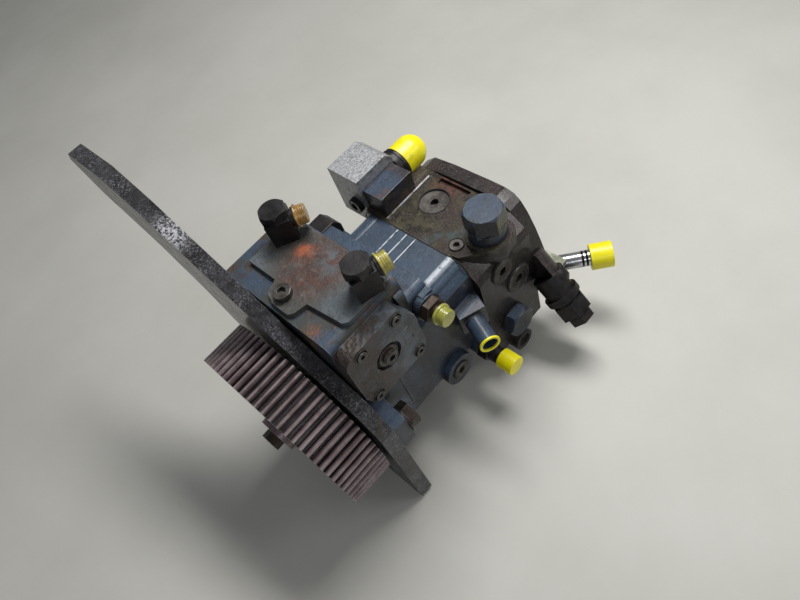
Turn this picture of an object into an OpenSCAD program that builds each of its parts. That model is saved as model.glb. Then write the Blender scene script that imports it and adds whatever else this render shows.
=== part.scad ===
// Variable axial piston pump with drive gear, adapter plate, servo and charge pump.
// +X runs along the drive shaft from the gear to the rear, -Y is the side with the
// near servo cover, +Z is the control side. X = 0 is the adapter plate's front face.

/* [Adapter plate] */
// thickness of the flame-cut adapter plate
plate_t = 15; // [12:1:18]
// radius of the pilot bore in the plate
pilot_r = 63.5; // [60:0.5:66]

/* [Drive gear] */
// number of teeth
gear_teeth = 71; // [60:1:90]
// tooth module
gear_module = 2.75; // [2:0.25:3]
// face width
gear_w = 47; // [35:1:47]

/* [Pump flange] */
// distance from shaft axis to each flange bolt
ear_pitch = 90.5; // [86:0.5:92]
// flange thickness
flange_t = 16; // [12:1:18]

/* [Housing] */
// half width of the barrel casting
barrel_half = 70; // [66:1:74]
// height of the barrel's flat top over the shaft axis
barrel_top = 65; // [62:1:68]
// height of the control block's top over the shaft axis
block_top = 125; // [120:1:130]

/* [Servo] */
// radius of the stroking piston's bore
servo_r = 22; // [18:0.5:23]
// height of the stroking piston over the shaft axis
servo_z = 79; // [77:1:82]
// thickness of the servo end covers
cover_t = 15; // [12:1:18]

/* [Rotating group] */
// number of pistons
piston_count = 9; // [5:2:9]
// radius of each piston
piston_r = 9; // [7:0.25:9]
// radius of the circle the pistons stand on
piston_pitch = 34; // [33:0.5:34]

/* [Fluid ports] */
// bore radius of the open case drain stub
stub_bore_r = 8; // [6:0.5:8.5]
// outside radius of the open case drain stub
stub_r = 10; // [9.5:0.5:11]

/* [Hidden] */
fit = 0.05;               // radial clearance of a running fit
gap = 0.3;                // space kept between parts on different bodies
gear_back = -4;
gear_front = gear_back - gear_w;
tip_r = gear_module * (gear_teeth + 2) / 2;
root_r = gear_module * (gear_teeth - 2.5) / 2;
flange_x = plate_t;
body_x = flange_x + flange_t;
body_end = 168;
servo_x = 55;
tilt_x = 90;
near_y = -67;
far_y = 70;
ledge_y = 82;
cover_x = 55;
cover_z = 79;
plate_end = 245;
charge_x = 245;
rotor_x = 245.3;
rotor_w = 12;
rotor_lobes = 7;
rotor_e = 2.6;
rotor_pitch = 24;
rotor_pin = 5.4;
$fn = 64;

// ---- helpers: cylinders and hexagons along each axis -------------------------------

module xcyl(x, y, z, r, l) {
  translate([x, y, z]) rotate([0, 90, 0]) cylinder(r = r, h = l);
}

module ycyl(x, y, z, r, l) {
  translate([x, y, z]) rotate([-90, 0, 0]) cylinder(r = r, h = l);
}

module zcyl(x, y, z, r, l) {
  translate([x, y, z]) cylinder(r = r, h = l);
}

module xhex(x, y, z, af, l) {
  translate([x, y, z]) rotate([0, 90, 0]) cylinder(r = af / sqrt(3), h = l, $fn = 6);
}

module yhex(x, y, z, af, l) {
  translate([x, y, z]) rotate([-90, 0, 0]) cylinder(r = af / sqrt(3), h = l, $fn = 6);
}

module zhex(x, y, z, af, l) {
  translate([x, y, z]) cylinder(r = af / sqrt(3), h = l, $fn = 6);
}

// hexagon head with its corners chamfered at the free end, along +Z
module capped_hex(af, l) {
  intersection() {
    cylinder(r = af / sqrt(3), h = l, $fn = 6);
    cylinder(r1 = af / 2 + l, r2 = af / 2, h = l);
  }
}

module xring(x, r_out, r_in, l) {
  difference() {
    xcyl(x, 0, 0, r_out, l);
    xcyl(x - 1, 0, 0, r_in, l + 2);
  }
}

// a flat shape drawn in (Y, Z), thickened along +X from x
module along_x(x, l) {
  translate([x, 0, 0]) rotate([90, 0, 90]) linear_extrude(l) children();
}

// a flat shape drawn in (X, Z), thickened along +Y from y
module along_y(y, l) {
  translate([0, y + l, 0]) rotate([90, 0, 0]) linear_extrude(l) children();
}

module round_rect(a0, a1, b0, b1, r) {
  translate([a0 + r, b0]) square([a1 - a0 - 2 * r, b1 - b0]);
  translate([a0, b0 + r]) square([a1 - a0, b1 - b0 - 2 * r]);
  for (a = [a0 + r, a1 - r], b = [b0 + r, b1 - r]) translate([a, b]) circle(r);
}

// socket head cap screw along +X, +Y or +Z with its head's top at the origin
module cap_screw(head_r, head_l, shank_r, shank_l) {
  difference() {
    union() {
      translate([0, 0, -head_l]) cylinder(r = head_r, h = head_l);
      translate([0, 0, -head_l - shank_l]) cylinder(r = shank_r, h = shank_l);
    }
    translate([0, 0, -head_l * 0.6]) cylinder(r = head_r * 0.52, h = head_l, $fn = 6);
  }
}

// turns +Z of its child onto the direction (cos a, sin a, 0)
module heading(p, a) {
  translate(p) rotate([0, 0, a]) rotate([0, 90, 0]) children();
}

// turns +Z of its child onto the direction (0, cos a, sin a)
module radial_heading(p, a) {
  translate(p) rotate([a - 90, 0, 0]) children();
}

// ---- adapter plate and drive gear ---------------------------------------------------

plate_outline = [
  [-104, -126], [-104, 26], [-88, 58], [118, 207], [160, 226], [225, 223], [243, 208],
  [224, 170], [160, 132], [124, 84], [106, 30], [104, -70], [72, -118], [50, -130],
  [-96, -130]
];
plate_hole_y = 60;
plate_hole_z = -107;
plate_hole_r = 6.5;

module adapter_plate() {
  color("dimgray") difference() {
    along_x(0, plate_t) polygon(plate_outline);
    xcyl(-1, 0, 0, pilot_r, plate_t + 2);
    for (s = [-1, 1]) {
      xcyl(-1, s * ear_pitch, 0, 8, plate_t + 2);
      xcyl(-1, s * plate_hole_y, plate_hole_z, plate_hole_r, plate_t + 2);
    }
  }
}

// half the tooth's angle at the tip, the pitch circle and the root
tip_a = 90 / gear_teeth * 0.44;
mid_a = 90 / gear_teeth * 0.98;
root_a = 90 / gear_teeth * 1.42;
gear_points = [
  for (i = [0 : gear_teeth - 1])
    for (p = [[root_r, -root_a], [gear_module * gear_teeth / 2, -mid_a], [tip_r, -tip_a],
              [tip_r, tip_a], [gear_module * gear_teeth / 2, mid_a], [root_r, root_a]])
      let (a = 360 * i / gear_teeth + p[1]) [p[0] * cos(a), p[0] * sin(a)]
];
web_r = 78;
hub_r = 32;

module drive_gear() {
  color("rosybrown") difference() {
    along_x(gear_front, gear_w) polygon(gear_points);
    xcyl(gear_front - 1, 0, 0, 20, gear_w + 2);
    difference() {
      xcyl(gear_front - 1, 0, 0, web_r, 11);
      xcyl(gear_front - 2, 0, 0, hub_r, 13);
    }
    difference() {
      xcyl(gear_back - 10, 0, 0, web_r, 11);
      xcyl(gear_back - 11, 0, 0, hub_r, 13);
    }
  }
}

module gear_washer() {
  color("gray") difference() {
    xcyl(gear_front - 5, 0, 0, 20, 5);
    xcyl(gear_front - 6, 0, 0, 6.2, 7);
  }
}

module gear_bolt() {
  color("dimgray") {
    xhex(gear_front - 14, 0, 0, 18, 9);
    xcyl(gear_front - 5, 0, 0, 6, 30);
  }
}

// ---- shaft and bearings -------------------------------------------------------------

front_seat = [17, 37];
rear_seat = [176, 193];

module drive_shaft() {
  color("silver") difference() {
    union() {
      xcyl(gear_front, 0, 0, 20, gear_w);
      xcyl(gear_back, 0, 0, 18, front_seat[0] - gear_back);
      xcyl(front_seat[0], 0, 0, 17, front_seat[1] - front_seat[0]);
      xcyl(front_seat[1], 0, 0, 13.2, 92 - front_seat[1]);
      xcyl(92, 0, 0, 14.5, 24);
      xcyl(116, 0, 0, 15, 46);
      xcyl(162, 0, 0, 13, rear_seat[1] - 162);
      xcyl(rear_seat[1], 0, 0, 9, rotor_x - rear_seat[1]);
      xcyl(rotor_x, 0, 0, 8, rotor_w);
    }
    xcyl(gear_front - 1, 0, 0, 6, 28);
  }
}

module bearing_inner_races() {
  color("lightgray") {
    xring(front_seat[0] + 1, 22, 17, 18);
    xring(rear_seat[0], 17, 13, 15);
  }
}

module bearing_outer_races() {
  color("lightgray") {
    xring(front_seat[0] + 1, 36, 27.5, 18);
    xring(rear_seat[0], 27, 22, 15);
  }
}

module roller_set(x, r_pitch, r_roller, l, count) {
  for (i = [0 : count - 1]) rotate([360 * i / count, 0, 0]) xcyl(x, 0, r_pitch, r_roller, l);
  for (p = [x, x + l - 1]) xring(p, r_pitch + 1.3, r_pitch - 1.3, 1);
}

module front_rollers() {
  color("white") roller_set(front_seat[0] + 3, 24.75, 2.7, 14, 20);
}

module rear_rollers() {
  color("white") roller_set(rear_seat[0] + 2, 19.5, 2.45, 11, 18);
}

module shaft_seal() {
  color("black") xring(8.2, 26, 18 + fit, 7);
}

module seal_ring() {
  color("gray") xring(6.6, 26, 21, 1.6);
}

// ---- swashplate and rotating group --------------------------------------------------

cradle_r = 38;
shell_r = 41;
running_x = tilt_x - 8;
arm_z = 57;

module swashplate() {
  color("silver") difference() {
    union() {
      intersection() {
        zcyl(tilt_x, 0, -43, cradle_r, 86);
        translate([40, -50, -50]) cube([running_x - 40, 100, 100]);
      }
      xcyl(running_x - 8, 0, 0, 45, 8);
      translate([servo_x, -7, 40]) cube([24, 14, 10]);
      zcyl(servo_x, 0, 44.5, 7, servo_z + 4 - 44.5);
    }
    xcyl(40, 0, 0, 26, 50);
    xcyl(40, 0, 0, 29, 32);
  }
}

module cradle_bearings() {
  color("gold") for (z = [27, -42]) intersection() {
    difference() {
      zcyl(tilt_x, 0, z, shell_r, 15);
      zcyl(tilt_x, 0, z - 1, cradle_r + fit, 17);
    }
    translate([40, -27, -60]) cube([27, 54, 120]);
  }
}

block_x = 116;
block_end = 162 - gap;
ball_x = 108;

module ring_of_pistons() {
  for (i = [0 : piston_count - 1]) rotate([360 * i / piston_count, 0, 0])
    translate([0, 0, piston_pitch]) children();
}

module cylinder_block() {
  color("goldenrod") difference() {
    xcyl(block_x, 0, 0, 47.7, block_end - block_x);
    xcyl(block_x - 1, 0, 0, 15, block_end - block_x + 2);
    xcyl(block_x + 7, 0, 0, 21, 28);
    ring_of_pistons() xcyl(block_x - 1, 0, 0, piston_r + fit, 40);
    ring_of_pistons() xcyl(block_x, 0, -2, 4, 60);
  }
}

module pistons() {
  color("silver") ring_of_pistons() {
    translate([ball_x, 0, 0]) sphere(6.5);
    xcyl(ball_x, 0, 0, 4.5, 12);
    xcyl(ball_x + 11, 0, 0, piston_r, 32);
  }
}

module slippers() {
  color("gold") ring_of_pistons() difference() {
    union() {
      xcyl(96, 0, 0, 9, 3.5);
      xcyl(96, 0, 0, 8, 15);
    }
    translate([ball_x, 0, 0]) sphere(6.5 + fit);
    xcyl(ball_x, 0, 0, 5.8, 10);
    xcyl(95, 0, 0, 1, 10);
  }
}

module retaining_plate() {
  color("slategray") difference() {
    xcyl(99.6, 0, 0, 46, 3);
    xcyl(98, 0, 0, 22, 6);
    ring_of_pistons() xcyl(98, 0, 0, 8.2, 6);
  }
}

module ball_guide() {
  color("dimgray") {
    xring(97, 21.9, 14.5, 8);
    xring(105, 19, 14.5, 10.8);
  }
}

module block_spring() {
  color("darkgray") for (i = [0 : 5]) translate([block_x + 9.2 + 4.7 * i, 0, 0])
    rotate([0, 90, 0]) rotate_extrude() translate([18, 0]) circle(1.6);
}

module valve_plate() {
  color("gold") difference() {
    along_x(162, 7) difference() {
      circle(47.7);
      circle(16);
      for (s = [-1, 1]) intersection() {
        difference() {
          circle(37);
          circle(28);
        }
        translate([s > 0 ? 8 : -60, -60]) square([52, 120]);
      }
    }
    xcyl(160, 0, 44, 1.5, 11);
  }
}

// ---- pump housing -------------------------------------------------------------------

screw_spots = [[-50, 50], [50, 50], [50, -42], [-50, -42]];

module housing_outside() {
  along_x(flange_x, flange_t) {
    circle(72);
    for (s = [-1, 1]) {
      intersection() {
        translate([s * ear_pitch, 0]) circle(22);
        square([203, 60], center = true);
      }
      polygon([[0, -72], [s * 22, -68.5], [s * (ear_pitch + 5), -21.4],
               [s * (ear_pitch + 5), 21.4], [s * 22, 68.5], [0, 72]]);
    }
  }
  xcyl(5, 0, 0, pilot_r - fit, flange_x - 4);
  along_x(flange_x + 2, body_end - flange_x - 2) intersection() {
    round_rect(-barrel_half, barrel_half, -60, barrel_top, 14);
    circle(86);
  }
  along_x(18, 82) round_rect(near_y, far_y, 30, block_top, 9);
  along_x(18, 82) round_rect(-20, ledge_y, 117.5, block_top, 3.5);
  along_x(100, 24) round_rect(-66, 64, 40, 92, 8);
  for (s = [-1, 1]) xcyl(100, s * 50, 50, 15.5, body_end - 100);
  xcyl(126, -55, 55, 9, body_end - 126);
  along_y(near_y, 30) round_rect(17, 93, 40, 119, 8);
  along_y(far_y - 30, 30) round_rect(17, 93, 40, 116, 8);
  for (y = [-7, 5, 17]) translate([134, y - 0.7, barrel_top - 1])
    cube([body_end - 135, 1.4, 1.8]);
  xcyl(89, -66, 108, 6, 9);
  ycyl(118, -77, -52, 19, 12);
  ycyl(156, -76, -60, 11, 20);
  translate([112, -72, 62]) cube([12, 10, 24]);
  ycyl(114, -74, 71, 14, 12);
  translate([57, -barrel_half - 1, -34]) cube([2.5, 3, 62]);
  translate([113, 58, 36]) cube([26, 14, 24]);
}

module housing_inside() {
  xcyl(4, 0, 0, 21, 15);
  xcyl(6.5, 0, 0, 26, 9);
  xcyl(front_seat[0] + 1, 0, 0, 36, 19);
  xcyl(front_seat[0], 0, 0, 23.5, 60);
  xcyl(60, 0, 0, 54, body_end - 59);
  zcyl(tilt_x, 0, -45.5, shell_r, 91);
  ycyl(servo_x, near_y - 1, servo_z, servo_r, far_y - near_y + 2);
  translate([44, -20, 44]) cube([32, 40, servo_z - 50]);
  ycyl(85, -45, 112, 6, 90);
  for (s = [-1, 1]) xcyl(flange_x - 1, s * ear_pitch, 0, 8.5, flange_t + 2);
  for (p = screw_spots) xcyl(154, p[0], p[1], 6, 16);
  for (p = servo_screw_spots) ycyl(p[0], near_y - 1, p[1], 3, 17);
  for (p = servo_screw_spots) ycyl(p[0], far_y - 16, p[1], 3, 17);
  zcyl(33, 5, block_top - 16, 5, 17);
  for (s = [-1, 1]) zcyl(79, s * 54, block_top - 10, 7, 11);
  ycyl(118, -78, -52, 10.5, 12);
  ycyl(156, -77, -60, 6, 14);
  ycyl(114, -75, 71, 6, 14);
  ycyl(150, -62, 15, 5, 12);
  translate([16, near_y - 8, 39.7]) cube([77.6, 8, 40]);
}

module pump_housing() {
  color("slategray") difference() {
    housing_outside();
    housing_inside();
    drain_seat();
  }
}

module flange_bolts() {
  color("dimgray") for (s = [-1, 1]) {
    xhex(body_x + 3, s * ear_pitch, 0, 24, 10);
    xcyl(1, s * ear_pitch, 0, 8, body_x + 2);
  }
}

module flange_washers() {
  color("gray") for (s = [-1, 1]) difference() {
    xcyl(body_x, s * ear_pitch, 0, 15, 3);
    xcyl(body_x - 1, s * ear_pitch, 0, 8, 5);
  }
}

// ---- control cover, adaptors and spool ----------------------------------------------

cover_top = block_top + 5;
cover_outline = [
  [39, 64], [39, 25], [26, 20], [21, 8], [21, -13], [25, -17], [38, -20], [42, -60],
  [46, -64], [88, -64], [93, -60], [97, -20], [97, 60], [93, 64]
];

module control_cover() {
  color("sienna") difference() {
    translate([0, 0, block_top]) linear_extrude(5) polygon(cover_outline);
    zcyl(33, 5, block_top - 1, 5, 7);
    for (s = [-1, 1]) zcyl(79, s * 54, block_top - 1, 7, 7);
  }
}

module control_cover_screw() {
  color("gray") translate([33, 5, cover_top + 6]) cap_screw(8.5, 6, 5, 18);
}

module control_spool() {
  color("silver") difference() {
    ycyl(85, -32, 112, 6 - fit, 64);
    for (y = [-20, -4, 12]) difference() {
      ycyl(85, y, 112, 7, 8);
      ycyl(85, y - 1, 112, 3.5, 10);
    }
  }
}

elbow_heads = [-33, -18];
elbow_z = cover_top + 17;

module control_elbows() {
  color("dimgray") for (i = [0, 1]) let (y = [54, -54][i]) difference() {
    union() {
      translate([79, y, cover_top]) rotate([0, 0, elbow_heads[i]]) translate([-11.5, -11.5, 0])
        cube([23, 23, 26]);
      heading([79, y, elbow_z], elbow_heads[i]) cylinder(r = 8, h = 16);
      heading([79, y, elbow_z], elbow_heads[i]) translate([0, 0, 14])
        cylinder(r = 9.5, h = 2);
    }
    zcyl(79, y, cover_top - 1, 7, 28);
    heading([79, y, elbow_z], elbow_heads[i]) cylinder(r = 4, h = 22);
  }
}

module control_elbow_bolts() {
  color("black") for (s = [-1, 1]) {
    zcyl(79, s * 54, block_top - 9, 7, 40);
    translate([79, s * 54, cover_top + 26]) capped_hex(24, 9);
  }
}

module control_caps() {
  color("goldenrod") for (i = [0, 1]) let (y = [54, -54][i])
    heading([79, y, elbow_z], elbow_heads[i]) translate([0, 0, 16]) {
      cylinder(r = 11, h = 2);
      translate([0, 0, 2]) cylinder(r = 9, h = 8);
    }
}

// ---- servo --------------------------------------------------------------------------

servo_screw_spots = [[34, 110], [75, 110], [29, 47], [83, 47]];

module cover_body(y, top) {
  difference() {
    along_y(y, cover_t) difference() {
      round_rect(17, 93, 40, top, 12);
      polygon([[93, top], [93, top - 24], [81, top]]);
      polygon([[17, 40], [17, 58], [24, 40]]);
    }
    ycyl(cover_x, y - 1, cover_z, 7, cover_t + 2);
    for (p = servo_screw_spots) ycyl(p[0], y - 1, p[1], 3.2, cover_t + 2);
  }
}

module near_servo_cover() {
  color("saddlebrown") difference() {
    cover_body(near_y - cover_t, 119);
    ycyl(cover_x, near_y - cover_t - 1, cover_z, 14.5, 6);
    for (p = servo_screw_spots) ycyl(p[0], near_y - cover_t - 1, p[1], 6, 5);
  }
}

module far_servo_cover() {
  color("slategray") difference() {
    cover_body(far_y, 116);
    ycyl(cover_x, far_y + cover_t - 5, cover_z, 14.5, 6);
    for (p = servo_screw_spots) ycyl(p[0], far_y + cover_t - 4, p[1], 6, 5);
  }
}

module servo_cover_screws() {
  color("dimgray") for (p = servo_screw_spots) {
    translate([p[0], near_y - cover_t - 2, p[1]]) rotate([90, 0, 0]) cap_screw(5, 6, 3, 24);
    translate([p[0], far_y + cover_t + 2, p[1]]) rotate([-90, 0, 0]) cap_screw(5, 6, 3, 24);
  }
}

stop_near = -59;
stop_far = 59;

module stroke_limit_screws() {
  color("gray") {
    difference() {
      ycyl(cover_x, near_y - cover_t - 4, cover_z, 7, stop_near - near_y + cover_t + 4);
      yhex(cover_x, near_y - cover_t - 5, cover_z, 6, 6);
    }
    difference() {
      ycyl(cover_x, stop_far, cover_z, 7, far_y + cover_t + 4 - stop_far);
      yhex(cover_x, far_y + cover_t, cover_z, 6, 6);
    }
  }
}

module stroke_limit_nuts() {
  color("dimgray") for (y = [near_y - cover_t + 0.5, far_y + cover_t - 5]) difference() {
    ycyl(cover_x, y, cover_z, 11, 4.5);
    ycyl(cover_x, y - 1, cover_z, 7, 7);
  }
}

module stroking_piston() {
  color("silver") difference() {
    ycyl(servo_x, -48, servo_z, servo_r - fit, 96);
    translate([servo_x - 30, -7.4, servo_z - 30]) cube([60, 14.8, 35.5]);
    for (y = [-41, 38]) difference() {
      ycyl(servo_x, y, servo_z, servo_r + 2, 3);
      ycyl(servo_x, y - 1, servo_z, servo_r - 2, 5);
    }
  }
}

// ---- port plate ---------------------------------------------------------------------

port_outline = [
  [66, barrel_top], [-48, barrel_top], [-60, 58], [-76, 44], [-80, 36], [-80, -98],
  [-74, -110], [-54, -112], [-38, -76], [60, -70], [66, -62]
];
relief_top = [208, -65.5];
relief_side = [201, -58];
pad_outline = [
  [170, -40], [172, -57], [184, -69], [194, -81], [206, -87], [221, -86], [231, -78],
  [236, -58], [236, -40]
];
pad_top = 70;

module port_plate() {
  color("saddlebrown") difference() {
    union() {
      along_x(169, plate_end - 169) polygon(port_outline);
      translate([0, 0, 52]) linear_extrude(barrel_top - 52) polygon(pad_outline);
      zcyl(relief_top[0], relief_top[1], 30, 18, 25);
      zcyl(relief_top[0], relief_top[1], 60, 22.5, pad_top - 60);
      ycyl(202, -89, -101, 13, 12);
      translate([171, 35.4, barrel_top - 1]) cube([66, 1.8, 3.2]);
    }
    xcyl(168, 0, 0, 14, 9);
    xcyl(rear_seat[0], 0, 0, 27, 18);
    xcyl(193, 0, 0, 10, 60);
    for (p = screw_spots) {
      xcyl(168, p[0], p[1], 6, 50);
      xcyl(216, p[0], p[1], 10, 40);
    }
    zcyl(relief_top[0], relief_top[1], 40, 9, 40);
    ycyl(relief_side[0], -81, relief_side[1], 10, 40);
    zcyl(214, 10, barrel_top - 9, 16.5, 10);
    zcyl(183, -46, barrel_top - 8, 7, 10);
    ycyl(200, -92, 29, 14.4, 21);
    ycyl(219, -92, -6, 16.4, 21);
    translate([236, -16, barrel_top - 4]) cube([6, 40, 6]);
    ycyl(202, -90, -101, 8, 18);
    xcyl(220, port_a[0], port_a[1], 19, 30);
  }
}

module port_plate_screws() {
  color("dimgray") for (p = screw_spots) translate([228, p[0], p[1]]) rotate([0, 90, 0])
    cap_screw(9, 12, 6, 60);
}

module housing_gasket() {
  color("black") along_x(body_end, 1) difference() {
    intersection() {
      round_rect(-barrel_half, barrel_half, -60, barrel_top, 14);
      circle(86);
    }
    circle(54);
    for (p = screw_spots) translate(p) circle(6);
  }
}

module relief_plugs() {
  color("steelblue") {
    zcyl(relief_top[0], relief_top[1], pad_top, 18.5, 13);
    translate([relief_top[0], relief_top[1], pad_top + 12]) rotate([0, 0, 16])
      capped_hex(35, 22);
    translate([relief_side[0], -82, relief_side[1]]) rotate([90, 0, 0])
      capped_hex(33, 12);
    ycyl(relief_side[0], -83, relief_side[1], 16.5, 3);
  }
}

module relief_cartridges() {
  color("silver") {
    zcyl(relief_top[0], relief_top[1], 42, 9, pad_top - 42);
    ycyl(relief_side[0], -80, relief_side[1], 10, 36);
  }
}

module socket_plug(r, l, key) {
  difference() {
    cylinder(r = r, h = l);
    translate([0, 0, l - key * 0.7]) cylinder(r = key / sqrt(3), h = key, $fn = 6);
  }
}

module socket_plugs() {
  color("dimgray") {
    translate([214, 10, barrel_top - 9]) socket_plug(16.2, 7.5, 8);
    translate([183, -46, barrel_top - 8]) socket_plug(7, 8.8, 6);
    translate([200, -71, 29]) rotate([90, 0, 0]) socket_plug(14, 11.5, 9);
    translate([219, -71, -6]) rotate([90, 0, 0]) socket_plug(16, 11.5, 10);
    translate([118, -66, -52]) rotate([90, 0, 0]) socket_plug(10.5, 12.5, 8);
    translate([202, -72, -101]) rotate([90, 0, 0]) socket_plug(8, 14, 7);
  }
}

// ---- charge pump ---------------------------------------------------------------------

charge_outline = [
  [-88, -48], [-85, -20], [-80, 7], [-75, 26], [-68, 46], [-61, 59], [-54, 65.5],
  [-44, 68.5], [-25, 69], [20, 68], [50, 65], [64, 54], [76, 30], [81, 0], [78, -40],
  [56, -74], [0, -88], [-56, -80], [-80, -64]
];
charge_screw_r = 66;
fitting_seat = [248, -72, -7];
fitting_a = 228;

module charge_housing() {
  color("saddlebrown") difference() {
    union() {
      along_x(charge_x, 16.5) polygon(charge_outline);
      xcyl(charge_x + 16, 0, 0, 46, 7);
      translate([charge_x + 12, -98, -68]) cube([12.2, 32, 27]);
      radial_heading(fitting_seat, fitting_a) cylinder(r = 16, h = 30);
    }
    translate([charge_x - 20, -110, -110]) cube([20, 200, 200]);
    xcyl(charge_x - 1, -rotor_e, 0, rotor_pitch + 4.5 + fit, rotor_w + 1.6);
    for (a = [30 : 60 : 330]) rotate([a, 0, 0]) {
      xcyl(charge_x - 1, 0, charge_screw_r, 5, 20);
      xcyl(charge_x + 7.5, 0, charge_screw_r, 7.7, 20);
    }
    xcyl(240, port_a[0], port_a[1], 19, 30);
    radial_heading(fitting_seat, fitting_a) cylinder(r = 2.8, h = 40);
    radial_heading(fitting_seat, fitting_a) translate([0, 0, 30]) cylinder(r = 20.5, h = 60);
  }
}

module charge_housing_screws() {
  color("dimgray") for (a = [30 : 60 : 330]) rotate([a, 0, 0])
    translate([charge_x + 16, 0, charge_screw_r]) rotate([0, 90, 0])
      cap_screw(7.5, 8.5, 5, 7);
}

// outline of the inner rotor: the curve that stays tangent to the outer rotor's round lobes
rotor_k = rotor_pitch / (rotor_e * rotor_lobes);
rotor_steps = 180;
rotor_points = [
  for (i = [0 : rotor_steps - 1])
    let (t = 360 * i / rotor_steps,
         q = atan2(sin((1 - rotor_lobes) * t), rotor_k - cos((1 - rotor_lobes) * t)),
         p = rotor_pin + 0.3)
      [rotor_pitch * cos(t) - p * cos(t + q) - rotor_e * cos(rotor_lobes * t),
       -rotor_pitch * sin(t) + p * sin(t + q) + rotor_e * sin(rotor_lobes * t)]
];

module charge_inner_rotor() {
  color("silver") difference() {
    along_x(rotor_x, rotor_w) polygon(rotor_points);
    xcyl(rotor_x - 1, 0, 0, 8, rotor_w + 2);
  }
}

module charge_outer_rotor() {
  color("lightgray") along_x(rotor_x, rotor_w) translate([-rotor_e, 0]) {
    difference() {
      circle(rotor_pitch + 4.5);
      circle(rotor_pitch + 0.1);
    }
    for (i = [0 : rotor_lobes - 1]) rotate(360 * i / rotor_lobes)
      translate([rotor_pitch, 0]) intersection() {
        circle(rotor_pin);
        translate([-6, -6]) square([8, 12]);
      }
  }
}

// ---- main ports ---------------------------------------------------------------------

port_a = [74, 72.5];

module port_block_a() {
  color("steelblue") difference() {
    translate([174, 38, barrel_top]) cube([44, 28, 25]);
    ycyl(196, 46, 78, 8, 21);
  }
}

module flange_block_a() {
  color("lightgray") difference() {
    along_y(66, 44) polygon([[171, 42], [171, 103], [213, 103], [221, 95], [221, 42]]);
    ycyl(196, 65, 78, 8, 30);
    xcyl(196, port_a[0], port_a[1], 6, 26);
    xcyl(170, 79, 66, 5, 12);
  }
}

module flange_block_screws() {
  color("black") translate([165, 79, 66]) rotate([0, -90, 0]) cap_screw(9, 6, 5, 10);
}

module flange_block_b() {
  color("darkkhaki") difference() {
    along_y(-92, 26) polygon([[269.2, -68], [269.2, -44], [271, -42], [283, -42], [283, -68]]);
    heading(tube_start, -45) translate([0, 0, -7]) cylinder(r = 9, h = 60);
    heading(tube_start, -45) translate([0, 0, -14]) cylinder(r = 6.5, h = 20);
  }
}

tube_start = [283.5, -85, -53];

module tube_b() {
  color("silver") heading(tube_start, -45) difference() {
    translate([0, 0, -7]) cylinder(r = 9, h = 49);
    translate([0, 0, -8]) cylinder(r = 6.5, h = 57);
  }
}

module port_caps() {
  color("yellow") {
    difference() {
      union() {
        xcyl(232, port_a[0], port_a[1], 18, 17.5);
        intersection() {
          xcyl(249.5, port_a[0], port_a[1], 18, 18);
          translate([249.5, port_a[0], port_a[1]]) sphere(18);
        }
      }
      xcyl(231, port_a[0], port_a[1], 12, 18);
    }
    heading(tube_start, -45) translate([0, 0, 30]) difference() {
      cylinder(r = 14.5, h = 24);
      translate([0, 0, -1]) cylinder(r = 9, h = 18);
    }
    difference() {
      ycyl(156, -119, -60, 11, 19);
      ycyl(156, -112, -60, 9, 15);
    }
  }
}

module port_collar_a() {
  color("dimgray") difference() {
    union() {
      xcyl(221, port_a[0], port_a[1], 18.5, 11);
      xcyl(221, port_a[0], port_a[1], 12, 26);
    }
    xcyl(220, port_a[0], port_a[1], 8, 30);
  }
}

module rear_fitting() {
  color("black") difference() {
    intersection() {
      translate([254, -96, -33.8]) sphere(17);
      radial_heading(fitting_seat, fitting_a) translate([0, 0, 30]) cylinder(r = 20, h = 40);
    }
    translate([200, -80.4, -80]) cube([45.4, 40, 80]);
    radial_heading(fitting_seat, fitting_a) cylinder(r = 16, h = 80);
  }
  color("black") radial_heading(fitting_seat, fitting_a) {
    difference() {
      translate([0, 0, 30]) cylinder(r = 16, h = 24);
      translate([0, 0, 29]) cylinder(r = 8, h = 16);
    }
    translate([0, 0, 54]) cylinder(r = 19.5, h = 7);
    translate([0, 0, 61]) cylinder(r = 16, h = 4);
    translate([0, 0, 65]) cylinder(r = 33 / sqrt(3), h = 17, $fn = 6);
  }
}

module rear_fitting_plug() {
  color("black") radial_heading(fitting_seat, fitting_a) {
    translate([0, 0, 82]) cylinder(r = 11.5, h = 3);
    translate([0, 0, 85]) cylinder(r = 25 / sqrt(3), h = 9, $fn = 6);
  }
}

// ---- case drain and small fittings ---------------------------------------------------

drain_a = -112.5;
drain_base = [149, -81, 15];

module drain_seat() {
  ycyl(150, -barrel_half - 1, 15, 8, 10);
}

module drain_fitting() {
  color("steelblue") difference() {
    union() {
      heading(drain_base, drain_a) {
        translate([-14, -14, -22]) cube([28, 28, 29]);
        translate([0, 0, 7]) cylinder(r = stub_r, h = 29);
      }
    }
    heading(drain_base, drain_a) translate([0, 0, -6]) cylinder(r = stub_bore_r, h = 60);
    ycyl(150, -80, 15, 5, 20);
    translate([100, -barrel_half, -20]) cube([100, 60, 70]);
  }
  color("steelblue") ycyl(150, -barrel_half, 15, 8, 9);
}

module drain_ring() {
  color("yellow") heading(drain_base, drain_a) translate([0, 0, 36]) difference() {
    cylinder(r = stub_r + 0.6, h = 2);
    translate([0, 0, -1]) cylinder(r = stub_bore_r, h = 4);
  }
}

module low_fitting() {
  color("black") {
    ycyl(156, -77, -60, 6, 14);
    yhex(156, -88, -60, 22, 12);
    ycyl(156, -112, -60, 9, 24);
  }
}

module gauge_fitting() {
  color("sienna") {
    ycyl(114, -75, 71, 6, 12);
    yhex(114, -82, 71, 23, 8);
    ycyl(114, -86, 71, 7, 4);
  }
}

module gauge_cap() {
  color("yellowgreen") {
    ycyl(114, -89, 71, 10.5, 3);
    ycyl(114, -97, 71, 8.5, 8);
  }
}

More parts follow.
